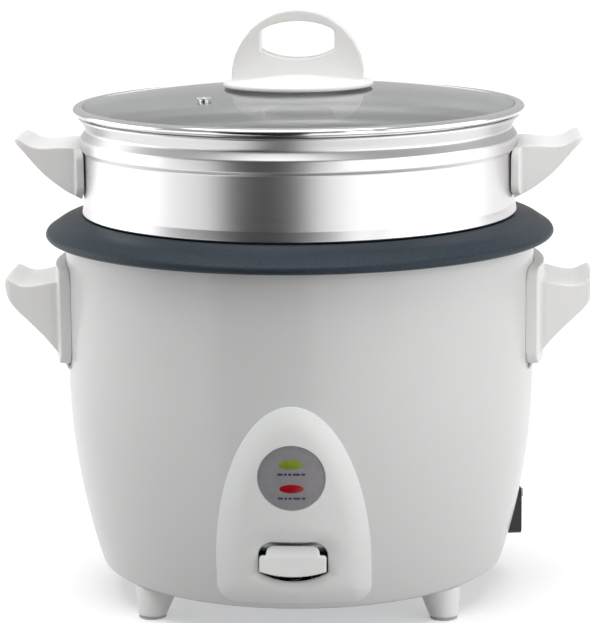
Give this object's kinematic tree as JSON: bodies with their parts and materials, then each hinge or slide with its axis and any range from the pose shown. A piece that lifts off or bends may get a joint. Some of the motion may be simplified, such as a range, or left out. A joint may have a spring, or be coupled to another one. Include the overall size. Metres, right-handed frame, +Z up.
{
  "type": "rice cooker",
  "caption": "White drum rice cooker with side handles, press lever, lift-out pot, stacked steamer tray and glass lid.",
  "frame": {"origin": "on the floor, on the axis of the drum", "axes": "+Z up along the drum's axis; -Y is the front with the control bezel; +X is the user's right, with the power inlet"},
  "size_m": [0.3024, 0.263, 0.302],
  "materials": {
    "white_enamel": "gloss white enamel on steel",
    "zinc_sheet": "zinc plated sheet",
    "steel_screw": "plated steel",
    "white_plastic": "moulded white polypropylene, satin",
    "foot_rubber": "soft grey rubber",
    "dial_grey": "printed grey plate, satin",
    "green_lens": "tinted clear plastic",
    "red_lens": "tinted clear plastic",
    "lamp_glass": "clear neon bulb",
    "board": "phenolic board",
    "black_plastic": "moulded black plastic",
    "cast_aluminium": "machined casting",
    "element_steel": "oxidised sheath",
    "porcelain": "unglazed steatite",
    "dark_magnet": "sintered ferrite",
    "pin_brass": "plated brass",
    "wire_insulation": "heat resistant sleeve",
    "dark_nonstick": "dark slate non-stick coating, satin",
    "polished_aluminium": "spun and polished",
    "lid_glass": "tempered glass, faint grey tint",
    "bright_steel": "polished stainless"
  },
  "bodies": {
    "root": {"body_shell": "white_enamel", "inner_liner": "zinc_sheet", "base_plate": "zinc_sheet", "base_plate_screws": "steel_screw", "foot_front_left": "white_plastic", "foot_front_right": "white_plastic", "foot_rear_left": "white_plastic", "foot_rear_right": "white_plastic", "foot_pads": "foot_rubber", "foot_screws": "steel_screw", "body_handle_left": "white_plastic", "body_handle_right": "white_plastic", "body_handle_screws": "steel_screw", "control_bezel": "white_plastic", "bezel_screws": "steel_screw", "indicator_plate": "dial_grey", "cook_lens": "green_lens", "warm_lens": "red_lens", "cook_lamp": "lamp_glass", "warm_lamp": "lamp_glass", "lamp_holder": "board", "lever_bracket": "zinc_sheet", "lever_bracket_screws": "steel_screw", "lever_pivot_pin": "steel_screw", "lever_return_spring": "steel_screw", "microswitch": "black_plastic", "microswitch_screws": "steel_screw", "heating_plate": "cast_aluminium", "heating_element": "element_steel", "element_insulators": "porcelain", "plate_posts": "steel_screw", "plate_screws": "steel_screw", "thermostat_sleeve": "zinc_sheet", "thermostat_spring": "steel_screw", "keep_warm_thermostat": "black_plastic", "thermal_fuse": "board", "power_inlet": "black_plastic", "inlet_pins": "pin_brass", "inlet_screws": "steel_screw", "internal_wires": "wire_insulation"},
    "switch_lever": {"lever_arm": "zinc_sheet", "lever_paddle": "white_plastic"},
    "plunger": {"switch_plunger": "black_plastic"},
    "magnet_carrier": {"magnet": "dark_magnet", "magnet_rod": "steel_screw"},
    "thermostat": {"thermostat_cap": "cast_aluminium", "thermostat_ferrite": "dark_magnet"},
    "pot": {"inner_pot": "dark_nonstick"},
    "steamer": {"steamer_tray": "polished_aluminium", "steamer_handle_left": "white_plastic", "steamer_handle_right": "white_plastic", "steamer_rivets": "polished_aluminium"},
    "lid": {"lid_glass": "lid_glass", "lid_rim": "bright_steel", "vent_eyelet": "bright_steel", "lid_knob": "white_plastic", "knob_gasket": "foot_rubber", "knob_screw": "steel_screw", "knob_washer": "bright_steel"}
  },
  "joints": [
    {"name": "lever_press", "type": "hinge", "parent": "root", "child": "switch_lever", "pos_m": [0, -0.062, 0.036], "axis": [1, 0, 0], "range_deg": [0, 5], "stiffness_Nm_per_rad": 0.35, "springref_deg": -20.05, "deforming": ["lever_return_spring"]},
    {"name": "plunger_travel", "type": "slide", "parent": "root", "child": "plunger", "axis": [0, 0, 1], "range_m": [-0.0016, 0], "stiffness_N_per_m": 15, "springref_m": 0.001},
    {"name": "magnet_lift", "type": "slide", "parent": "root", "child": "magnet_carrier", "axis": [0, 0, 1], "range_m": [0, 0.00545]},
    {"name": "thermostat_travel", "type": "slide", "parent": "root", "child": "thermostat", "axis": [0, 0, 1], "range_m": [-0.002, 0], "stiffness_N_per_m": 400, "springref_m": 0.003, "deforming": ["thermostat_spring"]},
    {"name": "pot_lift", "type": "slide", "parent": "root", "child": "pot", "axis": [0, 0, 1], "range_m": [0, 0.16]},
    {"name": "steamer_lift", "type": "slide", "parent": "pot", "child": "steamer", "axis": [0, 0, 1], "range_m": [0, 0.06]},
    {"name": "lid_lift", "type": "slide", "parent": "steamer", "child": "lid", "axis": [0, 0, 1], "range_m": [0, 0.05]}
  ],
  "couplings": [
    {"joint": "magnet_lift", "follows": "lever_press", "m_per_rad": 0.062},
    {"joint": "plunger_travel", "follows": "lever_press", "m_per_rad": -0.018}
  ]
}
